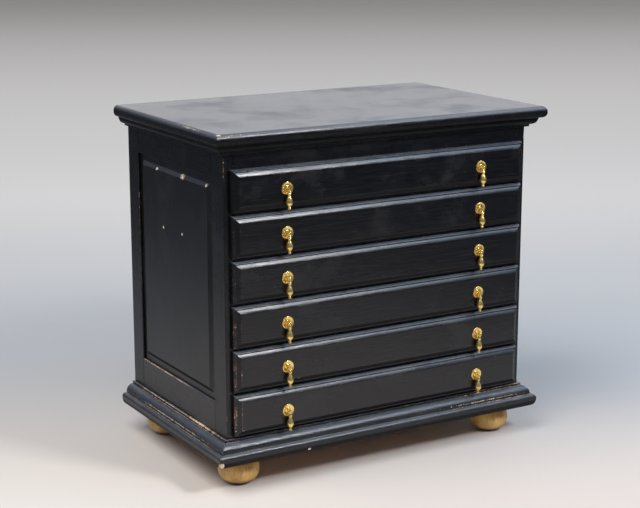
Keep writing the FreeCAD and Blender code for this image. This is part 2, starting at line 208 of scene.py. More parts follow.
def face_width(polygon, mesh):
    corners = [mesh.vertices[i].co for i in polygon.vertices]
    longest = max((a - b).length for a, b in zip(corners, corners[1:] + corners[:1]))
    return polygon.area / max(longest, 1e-9)


def rub_strips(piece, widest):
    """1 where a vertex touches only narrow faces, 0 where it also bounds a wide one."""
    mesh = piece.data
    values = [1.0] * len(mesh.vertices)
    for polygon in mesh.polygons:
        if face_width(polygon, mesh) > widest:
            for i in polygon.vertices:
                values[i] = 0.0
    write_rub(piece, values)


# %% [markdown]
# ## Shader sums
# A procedural finish is mostly arithmetic on masks. This small class wraps a socket so that the masks
# are written as ordinary Python sums, and one method adds any other node.

# %% Shader sums: the socket wrapper and the finish


class Mask:
    """A number or vector socket of a finish, which can be added, multiplied and so on."""

    def __init__(self, finish, socket):
        self.finish = finish
        self.socket = socket

    def sum(self, operation, first, second=None):
        node = self.finish.tree.nodes.new("ShaderNodeMath")
        node.operation = operation
        self.finish.feed(node.inputs[0], first)
        if second is not None:
            self.finish.feed(node.inputs[1], second)
        return Mask(self.finish, node.outputs[0])

    def __add__(self, other):
        return self.sum("ADD", self, other)

    def __radd__(self, other):
        return self.sum("ADD", other, self)

    def __sub__(self, other):
        return self.sum("SUBTRACT", self, other)

    def __rsub__(self, other):
        return self.sum("SUBTRACT", other, self)

    def __mul__(self, other):
        return self.sum("MULTIPLY", self, other)

    def __rmul__(self, other):
        return self.sum("MULTIPLY", other, self)

    def most(self, other):
        return self.sum("MAXIMUM", self, other)

    def ramp(self, low, high):
        """0 below low, 1 above high, and smooth between."""
        return self.finish.node("ShaderNodeMapRange", {"interpolation_type": "SMOOTHSTEP"},
                                {"Value": self, "From Min": low, "From Max": high})


class Finish:
    """A material and the nodes that it is built from."""

    def __init__(self, name):
        self.material = bpy.data.materials.new(name)
        self.material.use_nodes = True
        self.tree = self.material.node_tree
        self.shader = self.tree.nodes["Principled BSDF"]
        self.place = self.node("ShaderNodeTexCoord", {}, {}, "Object")

    def feed(self, socket, value):
        if isinstance(value, Mask):
            self.tree.links.new(value.socket, socket)
        else:
            socket.default_value = value

    def node(self, kind, settings, inputs, output=0):
        """Add a node: its settings first, then the values or links of its sockets."""
        node = self.tree.nodes.new(kind)
        for key, value in settings.items():
            setattr(node, key, value)
        for key, value in inputs.items():
            self.feed(node.inputs[key], value)
        return Mask(self, node.outputs[output])

    def mix(self, share, first, second):
        """A colour between two colours."""
        node = self.tree.nodes.new("ShaderNodeMix")
        node.data_type = "RGBA"
        for socket, value in ((0, share), (6, first), (7, second)):
            self.feed(node.inputs[socket], value)
        return Mask(self, node.outputs[2])

    def stretched(self, stretch, centre=(0, 0, 0)):
        """Object coordinates scaled along each axis about a centre."""
        moved = self.node("ShaderNodeVectorMath", {"operation": "SUBTRACT"}, {0: self.place, 1: centre})
        return self.node("ShaderNodeMapping", {}, {"Vector": moved, "Scale": stretch})

    def noise(self, place, scale, detail=3.0, rough=0.5):
        return self.node("ShaderNodeTexNoise", {},
                         {"Vector": place, "Scale": scale, "Detail": detail, "Roughness": rough})

    def attribute(self, name):
        return self.node("ShaderNodeAttribute", {"attribute_name": name}, {}, "Fac")

    def distance(self, point):
        return self.node("ShaderNodeVectorMath", {"operation": "DISTANCE"},
                         {0: self.place, 1: point}, "Value")

    def length(self, place):
        return self.node("ShaderNodeVectorMath", {"operation": "LENGTH"}, {0: place}, "Value")

    def dull(self, share, colour):
        """Mix in a dull dark surface with little gloss, used as painted shade."""
        matt = self.tree.nodes.new("ShaderNodeBsdfPrincipled")
        both = self.tree.nodes.new("ShaderNodeMixShader")
        for name, value in (("Base Color", colour), ("Roughness", 0.8), ("Specular IOR Level", 0.1)):
            matt.inputs[name].default_value = value
        self.feed(both.inputs[0], share)
        self.tree.links.new(self.shader.outputs[0], both.inputs[1])
        self.tree.links.new(matt.outputs[0], both.inputs[2])
        self.tree.links.new(both.outputs[0], self.tree.nodes["Material Output"].inputs["Surface"])

    def set(self, **values):
        for key, value in values.items():
            self.feed(self.shader.inputs[key.replace("_", " ")], value)

    def bump(self, height, strength, distance):
        normal = self.node("ShaderNodeBump", {}, {"Height": height, "Strength": strength,
                                                  "Distance": distance})
        self.set(Normal=normal)


def rgb(red, green, blue):
    """A colour given as 0 to 255 on the screen, turned to linear light."""
    def linear(value):
        value /= 255.0
        return value / 12.92 if value < 0.04045 else ((value + 0.055) / 1.055) ** 2.4
    return (linear(red), linear(green), linear(blue), 1.0)


def dress(piece, *finishes):
    piece.data.materials.clear()
    for finish in finishes:
        piece.data.materials.append(finish.material)


# %% [markdown]
# ## Black paint
# Ebonised furniture is stained and painted black, then rubbed and waxed. The grain of the wood shows
# through as fine lengthwise ridges, the gloss is broken by dull blotches, and along the arrises the
# paint is rubbed to a red-brown ground, with cream flecks where it has chipped to the filler. The grain
# runs along each board, so the finish is made once for each direction. What faces up is greyed with
# dust and a painted sheen. What faces down gets painted shade: a Mix Shader turns it dull and dark, so
# that it doesn't mirror the pale floor.

# %% Finish: black paint
ALONG = {"x": (1.0, 14.0, 14.0), "y": (14.0, 1.0, 14.0), "z": (14.0, 14.0, 1.0)}
PAINT_BLACK = (rgb(11, 12, 15), rgb(24, 23, 25))    # in the grain lines and between them
PAINT_DULL = rgb(50, 48, 49)                        # where the wax has bloomed
# painted shade: the dull black of what faces down
PAINT_UNDER_SHADE = rgb(14, 14, 17)
# grey dust and painted sheen on what faces up
DUST_AND_SHEEN_GREY = rgb(100, 104, 112)
RED_GROUND = rgb(92, 58, 42)                        # the ground coat, where the black is rubbed thin
CREAM_FILLER = rgb(226, 206, 180)                   # the filler, where the paint has chipped off
RELIEF = 0.7 * MM                                   # how deep the grain and the chips are


def black_paint(name, grain, gloss=0.24, bloom=0.10, wear=0.0, knocks=(), scars=(), relief=0.55):
    """Glossy black paint whose grain runs along one axis.

    Knocks are places that took more wear: (x, y, z, radius, how much).
    Scars are paint lost from one small place: (centre, half sizes, how full).
    """
    paint = Finish(name)
    lines = paint.noise(paint.stretched(ALONG[grain]), 22.0, 5.0, 0.62)
    blotches = paint.noise(paint.place, 9.0, 4.0, 0.6)
    specks = paint.noise(paint.place, 420.0, 2.0, 0.6)
    patchy = paint.noise(paint.place, 60.0, 4.0, 0.65)
    knocked = patchy * 0.0
    for x, y, z, radius, amount in knocks:
        reach = paint.distance((x, y, z)) * (1.0 / radius)
        knocked = knocked.most((1.0 - reach.ramp(0.35, 1.0)) * amount)
    rub = paint.attribute("rub")
    worn = (rub * (patchy * 1.5 + wear + knocked * 0.45)).ramp(0.88, 1.2)
    chipped = (rub * (specks * 0.9 + patchy * 0.35 + wear * 0.25 + knocked * 0.21)).ramp(0.86, 0.92)
    for centre, halves, full in scars:
        reach = paint.length(paint.stretched([1.0 / half for half in halves], centre))
        broken = (specks - 0.5) * 3.0 + (patchy - 0.5) * 1.6
        chipped = chipped.most(((1.0 - reach) * 1.2 + broken + full).ramp(0.62, 0.74)
                               * (1.0 - reach.ramp(0.85, 1.1)))
    # Dust and painted sheen: what faces up is greyed, partly as dust and partly as a painted sheen.
    dust_and_sheen_film = paint.attribute("dust_and_sheen") * (0.45 + 0.5 * lines + 0.35 * (blotches - 0.5))
    black = paint.mix(lines.ramp(0.35, 0.75), *PAINT_BLACK)
    dulled = paint.mix(blotches.ramp(0.5, 0.8) * (0.2 + bloom * 2.0), black, PAINT_DULL)
    dusted_and_sheened = paint.mix(dust_and_sheen_film, dulled, DUST_AND_SHEEN_GREY)
    rubbed = paint.mix(worn * 0.75, dusted_and_sheened, RED_GROUND)
    colour = paint.mix(chipped, rubbed, CREAM_FILLER)
    rough = gloss + blotches.ramp(0.45, 0.75) * bloom + lines.ramp(0.4, 0.8) * 0.06 + worn * 0.2
    paint.set(Base_Color=colour, Roughness=rough + dust_and_sheen_film * 0.1, IOR=1.52)
    # Painted shade: what faces down turns dull and dark, so that it doesn't mirror the pale floor.
    paint.dull(paint.attribute("under") * (1.0 - chipped) * 0.8, PAINT_UNDER_SHADE)
    fibres = paint.noise(paint.stretched(ALONG[grain]), 70.0, 3.0, 0.6)
    paint.bump(lines * 0.7 + fibres * 0.35 + patchy * 0.25 - worn * 0.5 - chipped * 0.8, relief, RELIEF)
    return paint


print("black paint ready")

# %% [markdown]
# ## Bare pine, golden feet and brass
# The drawer boxes, runners and back were never painted, so they are plain aged pine: pale early wood
# with darker late-wood lines along the board. The turned feet are a golden wood under thin varnish,
# and their fine streaks run from pole to pole. The pulls are pale polished brass, browner in soft
# clouds.

# %% Finish: bare pine
EARLY_WOOD = rgb(196, 158, 110)
LATE_WOOD = rgb(140, 94, 54)
AGED_WOOD = rgb(104, 78, 52)


def bare_pine(name, grain, tone=1.0):
    """Pine with its grain along one axis; a tone under 1 is darker with age."""
    pine = Finish(name)
    drift = pine.noise(pine.place, 3.0, 2.0)
    bands = pine.noise(pine.stretched(ALONG[grain]), 9.0, 3.0, 0.5) + drift * 0.15
    fibres = pine.noise(pine.stretched(ALONG[grain]), 70.0, 4.0, 0.6)
    years = bands * 9.0
    stripes = years.sum("FRACT", years).ramp(0.45, 0.98)
    early, late = ([c * tone for c in wood[:3]] + [1.0] for wood in (EARLY_WOOD, LATE_WOOD))
    colour = pine.mix(stripes * 0.55 + fibres.ramp(0.4, 0.8) * 0.3, early, late)
    aged = pine.mix(drift.ramp(0.45, 0.75) * 0.35, colour, AGED_WOOD)
    pine.set(Base_Color=aged, Roughness=0.62 + fibres * 0.15)
    pine.bump(fibres * 0.7 + stripes * 0.3, 0.3, 0.0005)
    return pine


# %% Finish: golden turned wood
GOLDEN = (rgb(232, 190, 108), rgb(194, 142, 66))
DARK_STREAK = rgb(112, 72, 28)
DARKER_LOW = rgb(110, 78, 38)


def golden_wood(name, centre):
    """Turned wood whose streaks run round the axis through centre, from pole to pole."""
    wood = Finish(name)
    local = wood.stretched((1.0, 1.0, 1.0), centre)
    split = wood.node("ShaderNodeSeparateXYZ", {}, {0: local}, "X")
    x, y, z = (Mask(wood, s) for s in split.socket.node.outputs)
    turn = x.sum("ARCTAN2", x, y)
    square = x * x + y * y
    radius = square.sum("SQRT", square)
    wrap = wood.node("ShaderNodeCombineXYZ", {}, {"X": turn * 0.08, "Y": z * 0.25, "Z": radius * 0.3})
    streaks = wood.noise(wrap, 190.0, 4.0, 0.65)
    cloud = wood.noise(local, 40.0, 3.0)
    rings = wood.noise(wood.stretched((0.15, 0.15, 1.0), centre), 240.0, 2.0)
    base = wood.mix(cloud.ramp(0.3, 0.75), *GOLDEN)
    dark = wood.mix(streaks.ramp(0.52, 0.7) * 0.55, base, DARK_STREAK)
    # The foot is darker towards the bottom.
    low = wood.mix(1.0 - z.ramp(0.002, 0.016), dark, DARKER_LOW)
    wood.set(Base_Color=low, Roughness=0.4 + cloud * 0.15, Coat_Weight=0.25)
    wood.shader.inputs["Coat Roughness"].default_value = 0.2
    wood.bump(streaks * 0.6 + rings * 0.4, 0.25, 0.0004)
    return wood


# %% Finish: polished brass
BRASS = (rgb(252, 222, 138), rgb(232, 184, 92))


def polished_brass(name):
    brass = Finish(name)
    cloud = brass.noise(brass.place, 130.0, 3.0)
    fine = brass.noise(brass.place, 900.0, 2.0)
    colour = brass.mix(cloud.ramp(0.4, 0.8), *BRASS)
    brass.set(Base_Color=colour, Metallic=0.9, Roughness=0.22 + cloud.ramp(0.4, 0.9) * 0.14)
    brass.bump(cloud * 0.7 + fine * 0.3, 0.12, 0.0004)
    return brass


# %% [markdown]
# ## The carcase from its joinery
# Stiles, rails and panels have the right shape already. Each is copied, its loose triangles are welded
# back into whole faces, and every arris is eased, since a knife-sharp arris never catches the light the
# way a planed one does. The copy then stands for the CAD node. The knocks and scars say where the paint
# has gone: along the lower left rail, at the corners, and in a few chips on the left panel.

# %% Eased copies of the joinery
TOE = 0.95                  # how wide, in millimetres, one strip of an eased arris may be


def eased(node, finish, ease=0.9, body="cabinet"):
    """A welded and eased copy of a CAD node, in its finish, riding on its body."""
    piece = copy_of(nodes[node], node + "_eased")
    weld(piece)
    soften(piece, ease * MM, segments=3)
    rub_strips(piece, TOE * MM)
    smooth(piece)
    dress(piece, finish)
    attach(piece, body)
    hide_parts(node)
    return piece


left_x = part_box("side_left_stiles")[0].x
front_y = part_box("side_left_stiles")[0].y
panel_low, panel_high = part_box("side_left_panel")
stile_paint = black_paint("black_paint_upright", "z", wear=-0.1, knocks=[
    (left_x, front_y, 0.62, 0.03, 1.2), (left_x, front_y, 0.13, 0.04, 0.8),
    (left_x, panel_high.y, 0.45, 0.22, 0.8), (-left_x, front_y, 0.63, 0.03, 1.2)],
    scars=[((left_x, front_y, 0.624), (0.003, 0.003, 0.03), -0.3),
           ((-left_x, front_y, 0.625), (0.003, 0.003, 0.017), 0.3)])
rail_paint = black_paint("black_paint_side_rail", "y", wear=-0.05, knocks=[
    (left_x, 0.07, panel_low.z + 0.006, 0.17, 1.7)],
    scars=[((left_x, 0.05, panel_low.z + 0.0075), (0.004, 0.14, 0.003), 0.15)])
panel_paint = black_paint("black_paint_panel", "z", gloss=0.3, wear=-0.05, knocks=[
    (left_x, panel_high.y - 0.02, 0.45, 0.22, 0.8)],
    scars=[((left_x, 0.095, panel_high.z - 0.026), (0.02, 0.007, 0.004), 0.4),
           ((left_x, -0.018, panel_high.z - 0.024), (0.02, 0.010, 0.006), 0.4),
           ((left_x, -0.119, panel_high.z - 0.024), (0.02, 0.004, 0.004), 0.2),
           ((left_x, 0.069, 0.462), (0.02, 0.0028, 0.0028), 0.8),
           ((left_x, -0.015, 0.464), (0.02, 0.0028, 0.0028), 0.8)])
frieze_paint = black_paint("black_paint_frieze", "x", wear=0.0)
for side in ("left", "right"):
    eased("side_%s_stiles" % side, stile_paint, ease=1.6)
    eased("side_%s_rails" % side, rail_paint, ease=1.5)
    eased("side_%s_panel" % side, panel_paint, ease=1.2)
for rail in ("frieze_rail", "bottom_rail", "drawer_rails"):
    eased(rail, frieze_paint, ease=0.6)
pine_up = bare_pine("bare_pine_upright", "z", 0.55)
pine_long = bare_pine("bare_pine_lengthwise", "x")
pine_deep = bare_pine("bare_pine_front_to_back", "y")
eased("back_boards", pine_up, ease=0.8)
dress(nodes["base_board"], pine_long)
dress(nodes["runners"], pine_deep)
print("carcase eased")

# %% [markdown]
# ## The top
# The top is a wide glued board with a full-round nose on three sides. A box is given that nose by
# rounding its long edges, all but those at the back, which is left square against the wall.

# %% Model the top
NOSE = 10.0 * MM
top_low, top_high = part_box("top_board")
top = block("top_board_nosed", top_low, top_high)
begin_edit(top, "EDGE")
pick_edges(lambda a, b: near(a.z, b.z) and not (near(a.y, top_high.y) and near(b.y, top_high.y)))
bpy.ops.mesh.bevel(offset=NOSE, segments=10, profile=0.5, affect="EDGES")
end_edit()
print("top:", len(top.data.polygons), "faces")


def nose_rub(mesh):
    """The nose rubs along its upper shoulder."""
    values = []
    for vertex in mesh.vertices:
        co = vertex.co
        inside = min(co.x - top_low.x, top_high.x - co.x, co.y - top_low.y)
        shoulder = 0.3 * NOSE < inside < 0.8 * NOSE and co.z > top_high.z - 0.5 * NOSE
        values.append(1.0 if shoulder else 0.0)
    return values


write_rub(top, nose_rub(top.data))
smooth(top, 40.0)
top_paint = black_paint("black_paint_top", "x", gloss=0.25, bloom=0.12, wear=-0.25, knocks=[
    (top_low.x, top_low.y, top_high.z, 0.02, 2.0)],
    scars=[((top_low.x + 0.004, top_low.y + 0.12, top_high.z - 0.002), (0.006, 0.13, 0.005), -0.55),
           ((top_low.x + 0.05, top_low.y + 0.004, top_high.z - 0.004), (0.08, 0.006, 0.005), -0.5)])
dress(top, top_paint)
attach(top, "cabinet")
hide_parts("top_board")

# %% [markdown]
# ## Cornice and plinth
# A moulding is one outline carried along a straight run and cut at forty-five degrees where it meets
# the next. Here a narrow plane is laid as the underside of the run, and its free edge is extruded from
# point to point of the outline, as a scraper follows a profile. The ends are then filled and mitred.

# %% Outlines of the two mouldings
case_top = top_low.z
cornice_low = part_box("cornice_front")[0].z
plinth_low, plinth_high = (corner.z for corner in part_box("plinth_front"))


def quarter(centre, out, rise, start, stop, steps=7):
    """Points on part of an ellipse about a centre, from start to stop degrees, but for the first."""
    points = []
    for step in range(1, steps + 1):
        angle = math.radians(start + (stop - start) * step / steps)
        points.append((centre[0] + out * math.cos(angle), centre[1] + rise * math.sin(angle)))
    return points


def cornice_outline():
    """A fillet, a round that swells outwards and up, and a lip under the top."""
    fillet_out, fillet_rise = 7 * MM, 4.5 * MM
    ovolo_out, ovolo_rise = 12 * MM, 10 * MM
    lip_out = fillet_out + ovolo_out + 1 * MM
    low = cornice_low
    shoulder = low + fillet_rise
    ovolo_top = shoulder + ovolo_rise
    points = [(0.0, low), (fillet_out, low), (fillet_out, shoulder)]
    points += quarter((fillet_out, ovolo_top), ovolo_out, ovolo_rise, -90, 0)
    return points + [(lip_out, ovolo_top), (lip_out, case_top), (0.0, case_top)]


def plinth_outline():
    """A round nose, a tread, a short riser, an ovolo and a bead against the case."""
    bead_rise, ovolo_rise, riser_rise, tread_rise = 5.5 * MM, 14.5 * MM, 3 * MM, 7.5 * MM
    nose_out, toe_out, shoulder_out = 30 * MM, 21 * MM, 24 * MM
    riser_out, bead_out = 20 * MM, 5 * MM
    bead_low = plinth_high - bead_rise
    riser_top = bead_low - ovolo_rise
    tread = riser_top - riser_rise
    nose = tread - tread_rise
    points = [(0.0, plinth_low), (toe_out, plinth_low)]
    points += quarter((toe_out, nose), nose_out - toe_out, nose - plinth_low, -90, 0)
    points += quarter((shoulder_out, nose), nose_out - shoulder_out, tread - nose, 0, 90, 5)
    points += [(riser_out, tread), (riser_out, riser_top)]
    points += quarter((bead_out, riser_top), riser_out - bead_out, ovolo_rise, 0, 90)
    points += quarter((bead_out, bead_low + bead_rise / 2), 0.8 * MM, bead_rise / 2, -60, 80, 4)
    return points + [(4 * MM, plinth_high), (0.0, plinth_high)]


# %% Run and mitre a moulding
half_width = -left_x
back_y = top_high.y
REACH = 0.06                # how far a run is left long before it is mitred


def mitre(point, normal):
    """Cut off what lies past a plane and close the cut."""
    bpy.ops.mesh.select_all(action="SELECT")
    bpy.ops.mesh.bisect(plane_co=point, plane_no=Vector(normal).normalized(), use_fill=True,
                        clear_outer=True)


def moulding(name, outline, side):
    """Run an outline along the front or the right side of the case, and mitre it."""
    if side == "front":
        start, run = Vector((-half_width - REACH, front_y, 0)), Vector((2 * (half_width + REACH), 0, 0))
        out = Vector((0, -1, 0))
    else:
        start, run = Vector((half_width, front_y - REACH, 0)), Vector((0, back_y - front_y + REACH, 0))
        out = Vector((1, 0, 0))
    at = [start + out * o + Vector((0, 0, z)) for o, z in outline]
    low = Vector(map(min, at[0], at[1], at[0] + run, at[1] + run))
    high = Vector(map(max, at[0], at[1], at[0] + run, at[1] + run))
    bpy.ops.object.select_all(action="DESELECT")
    bpy.ops.mesh.primitive_plane_add(size=1.0, location=(low + high) / 2)
    piece = bpy.context.object
    piece.name = name
    piece.scale = (high.x - low.x, high.y - low.y, 1.0)
    bpy.ops.object.transform_apply(location=True, rotation=True, scale=True)
    begin_edit(piece, "EDGE")
    pick_edges(lambda a, b: near((a - at[1]).dot(out), 0) and near((b - at[1]).dot(out), 0))
    for here, there in zip(at[1:], at[2:] + at[:1]):
        bpy.ops.mesh.extrude_edges_move(TRANSFORM_OT_translate={"value": there - here})
    bpy.ops.mesh.select_all(action="SELECT")
    bpy.ops.mesh.remove_doubles(threshold=1e-6)
    along = run.normalized()
    for end in (start, start + run):
        pick_edges(lambda a, b: near((a - end).dot(along), 0) and near((b - end).dot(along), 0))
        bpy.ops.mesh.edge_face_add()
    if side == "front":
        mitre((half_width, front_y, 0), (1, 1, 0))
        mitre((-half_width, front_y, 0), (-1, 1, 0))
    else:
        mitre((half_width, front_y, 0), (-1, -1, 0))
    bpy.ops.mesh.select_all(action="SELECT")
    bpy.ops.mesh.normals_make_consistent(inside=False)
    end_edit()
    return piece


def mirrored(piece, name):
    """The same piece on the other side of the chest, turned right side out again."""
    twin = copy_of(piece, name)
    twin.data.transform(Matrix.Scale(-1, 4, (1, 0, 0)))
    twin.data.flip_normals()
    return twin


def finish_run(piece, node, finish):
    """Ease, paint and fix one run of moulding."""
    soften(piece, 1.1 * MM, segments=3, angle=26)
    rub_strips(piece, 0.75 * MM)
    smooth(piece)
    dress(piece, finish)
    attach(piece, "cabinet")
    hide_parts(node)


corner_knock = (left_x - 0.02, front_y - 0.02, plinth_low, 0.03, 2.2)
ledge_knock = (left_x, 0.0, plinth_high, 0.30, 1.35)
tread_knock = (-left_x, front_y, plinth_high - 0.02, 0.25, 1.35)
tread = plinth_high - 0.0175
plinth_scars = [((left_x - 0.006, -0.09, plinth_high), (0.012, 0.09, 0.003), 0.1),
                ((left_x - 0.018, 0.02, tread), (0.014, 0.22, 0.0022), -0.1),
                ((-left_x - 0.1, front_y - 0.018, tread), (0.14, 0.014, 0.0022), -0.1),
                ((left_x - 0.027, front_y - 0.027, plinth_low + 0.006), (0.007, 0.007, 0.010), 0.5),
                ((left_x + 0.163, front_y - 0.03, plinth_low + 0.007), (0.004, 0.01, 0.003), 0.5)]
for band, outline in (("cornice", cornice_outline()), ("plinth", plinth_outline())):
    knocks = [corner_knock, ledge_knock, tread_knock] if band == "plinth" else []
    scars = plinth_scars if band == "plinth" else []
    paint_x = black_paint("black_paint_%s_front" % band, "x", gloss=0.17, wear=-0.05, knocks=knocks,
                          scars=scars, relief=0.9)
    paint_y = black_paint("black_paint_%s_side" % band, "y", gloss=0.19, wear=-0.05, knocks=knocks,
                          scars=scars, relief=0.8)
    front_run = moulding(band + "_front_run", outline, "front")
    right_run = moulding(band + "_right_run", outline, "right")
    left_run = mirrored(right_run, band + "_left_run")
    finish_run(front_run, band + "_front", paint_x)
    finish_run(right_run, band + "_right", paint_y)
    finish_run(left_run, band + "_left", paint_y)
    print(band, "runs made,", len(front_run.data.polygons), "faces in the front one")

# %% [markdown]
# ## Drawer fronts
# Each front is a lipped board with a moulded border: a bevel, a narrow flat, and a rounded bevel up to
# the flat field. A face inset with a little depth makes one such step, so the whole border is a string
# of insets on one box. The rear part, which the sides are dovetailed into, is cut from the CAD node.
# The lower a drawer is, the more its left end has been knocked; the top one is glossy but blotched.

# %% Model one drawer front
BORDER = ((3.5, 4.0), (1.8, 0.0))           # outer bevel and flat: width, rise
INNER_WIDTH = 7.7 * MM
INNER_RISE = 4.0 * MM
INNER_SWELL = 0.45          # how much fuller than straight the inner bevel is
INNER_STEPS = 6
FIELD_MARGIN = 3 * MM       # a frame of flat face that keeps the field's shading level
LIP_EDGE = 7.5 * MM
BACK_GAP = 0.5 * MM
border_width = INNER_WIDTH + sum(width for width, rise in BORDER) * MM


def drawer_lip():
    """The moulded lip of the top drawer, which the other drawers copy."""
    low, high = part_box("drawer_1_front")
    lip_back = front_y - BACK_GAP
    lip = block("drawer_1_lip", (low.x, lip_back - LIP_EDGE, low.z), (high.x, lip_back, high.z))
    begin_edit(lip)
    pick_faces(lambda centre, normal: normal.y < -0.9)
    for width, rise in BORDER:
        bpy.ops.mesh.inset(thickness=width * MM, depth=rise * MM)
    share = [step / INNER_STEPS for step in range(INNER_STEPS + 1)]
    height = [s + INNER_SWELL * s * (1 - s) for s in share]
    for a, b in zip(height, height[1:]):
        bpy.ops.mesh.inset(thickness=INNER_WIDTH / INNER_STEPS, depth=INNER_RISE * (b - a))
    bpy.ops.mesh.inset(thickness=FIELD_MARGIN, depth=0.0)
    end_edit()
    soften(lip, 0.45 * MM, segments=2, angle=12)
    return lip


def lip_rub(lip):
    """1 along the three raised arrises of the border, 0 between them and on the field."""
    corners = [vertex.co for vertex in lip.data.vertices]
    low = Vector(map(min, *corners))
    high = Vector(map(max, *corners))
    values = []
    for co in corners:
        inside = min(co.x - low.x, high.x - co.x, co.z - low.z, high.z - co.z)
        on_arris = any(abs(inside - d) < 0.6 * MM for d in (0.0, BORDER[0][0] * MM, border_width))
        values.append(1.0 if on_arris and co.y < front_y - 0.5 * LIP_EDGE else 0.0)
    return values


def drawer_block(number):
    """The rear part of the CAD front, with its sockets and groove, cut off behind the lip."""
    rear = copy_of(nodes["drawer_%d_front" % number], "drawer_%d_block" % number)
    weld(rear)
    begin_edit(rear, "VERT")
    bpy.ops.mesh.select_all(action="SELECT")
    bpy.ops.mesh.bisect(plane_co=(0, front_y - 0.5 * BACK_GAP, 0), plane_no=(0, -1, 0), use_fill=True,
                        clear_outer=True)
    end_edit()
    return rear


# %% Fit the six drawers
first_lip = drawer_lip()
lip_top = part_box("drawer_1_front")[1].z
for number in DRAWERS:
    drawer = "drawer_%d" % number
    top_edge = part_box(drawer + "_front")[1].z
    shift = (0, 0, top_edge - lip_top)
    lip = first_lip if number == 1 else copy_of(first_lip, drawer + "_lip", shift)
    rear = drawer_block(number)
    knocks = [(-0.327, front_y - 0.01, top_edge - 0.05, 0.05, 0.12 * number)]
    gloss, bloom = (0.17, 0.28) if number == 1 else (0.21, 0.12)
    paint = black_paint("black_paint_" + drawer, "x", gloss=gloss, bloom=bloom,
                        wear=0.03 * number - 0.14, knocks=knocks)
    write_rub(lip, lip_rub(lip))
    write_rub(rear, [0.0] * len(rear.data.vertices))
    dress(lip, paint)
    dress(rear, pine_long)
    front = joined([lip, rear], drawer + "_moulded_front")
    smooth(front, 22.0)
    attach(front, drawer)
    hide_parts(drawer + "_front")
    eased(drawer + "_box", pine_deep, ease=0.5, body=drawer)
    dress(nodes[drawer + "_bottom"], pine_long)
print("six drawers fitted")

# %% [markdown]
# ## Drop pulls
# Each pull is three pieces of brass: a dished plate with a beaded rim, a bent wire that goes through
# the plate, and a turned teardrop that hangs on the wire. The turned pieces are a circle extruded ring
# by ring along a flowing outline, like a pot on a wheel. One pull is made and copied.

# %% A lathe


def lathe(name, outline, points):
    """Turn (radius, height) rings, in millimetres, about the Z axis into a closed smooth solid."""
    radius, height = outline[0]
    bpy.ops.object.select_all(action="DESELECT")
    bpy.ops.mesh.primitive_circle_add(vertices=points, radius=radius * MM, fill_type="NGON",
                                      location=(0, 0, height * MM))
    piece = bpy.context.object
    piece.name = name
    bpy.ops.object.transform_apply(location=True, rotation=True, scale=True)
    begin_edit(piece)
    bpy.ops.mesh.select_all(action="SELECT")
    for (r0, h0), (r1, h1) in zip(outline, outline[1:]):
        bpy.ops.mesh.extrude_region_move(TRANSFORM_OT_translate={"value": (0, 0, (h1 - h0) * MM)})
        bpy.ops.transform.resize(value=(r1 / r0, r1 / r0, 1.0), center_override=(0, 0, h1 * MM))
    bpy.ops.mesh.select_all(action="SELECT")
    bpy.ops.mesh.normals_make_consistent(inside=False)
    end_edit()
    return piece


def flowing(points, steps=4):
    """A smooth line through the given points of an outline (a Catmull-Rom curve)."""
    padded = [points[0]] + points + [points[-1]]
    line = [points[0]]
    for p0, p1, p2, p3 in zip(padded, padded[1:], padded[2:], padded[3:]):
        for step in range(1, steps + 1):
            t = step / steps
            line.append(tuple(0.5 * (2 * b + (c - a) * t + (2 * a - 5 * b + 4 * c - d) * t ** 2
                                     + (3 * b - a - 3 * c + d) * t ** 3)
                              for a, b, c, d in zip(p0, p1, p2, p3)))
    return line


def settle(piece, matrix):
    """Move a piece to its place by its mesh, so that its object stays at the origin."""
    piece.data.transform(matrix)
    return piece


# %% Model one pull
PLATE = [(11.8, 0.0), (12.2, 0.4), (12.2, 1.1), (11.8, 1.7), (11.1, 1.9), (10.3, 1.7), (9.4, 1.3),
         (7.6, 1.05), (5.8, 1.0), (5.1, 1.15), (4.6, 1.5), (3.6, 1.75), (2.0, 1.85), (0.4, 1.85)]
TEARDROP = [(0.3, -39.0), (2.0, -38.6), (3.2, -37.5), (3.3, -36.0), (2.5, -34.1), (2.6, -33.2),
            (4.0, -31.5), (5.8, -28.7), (6.6, -25.2), (6.1, -21.4), (4.8, -17.4), (3.2, -13.7),
            (2.8, -12.3), (3.2, -11.1), (4.1, -9.6), (4.2, -8.3), (3.5, -6.8), (3.0, -5.3),
            (2.6, -4.0), (1.6, -3.0)]
WIRE = 0.9 * MM
SPREAD = 3.1 * MM
BEND = 1.3 * MM
EYE_RING = 2.55 * MM
EYE_WIRE = 1.25 * MM
pivots = {j["child"]: Vector(j["pos_m"]) for j in frame["joints"] if j["type"] == "hinge"}
pull_home = pivots["drop_1_left"]
field_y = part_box("drawer_1_front")[0].y


def pull_plate():
    """The dished plate, turned upright against the drawer front."""
    plate = lathe("pull_plate", flowing(PLATE, 3), points=48)
    upright = Matrix.Rotation(math.radians(90), 4, "X")
    return settle(plate, Matrix.Translation((pull_home.x, field_y, pull_home.z)) @ upright)


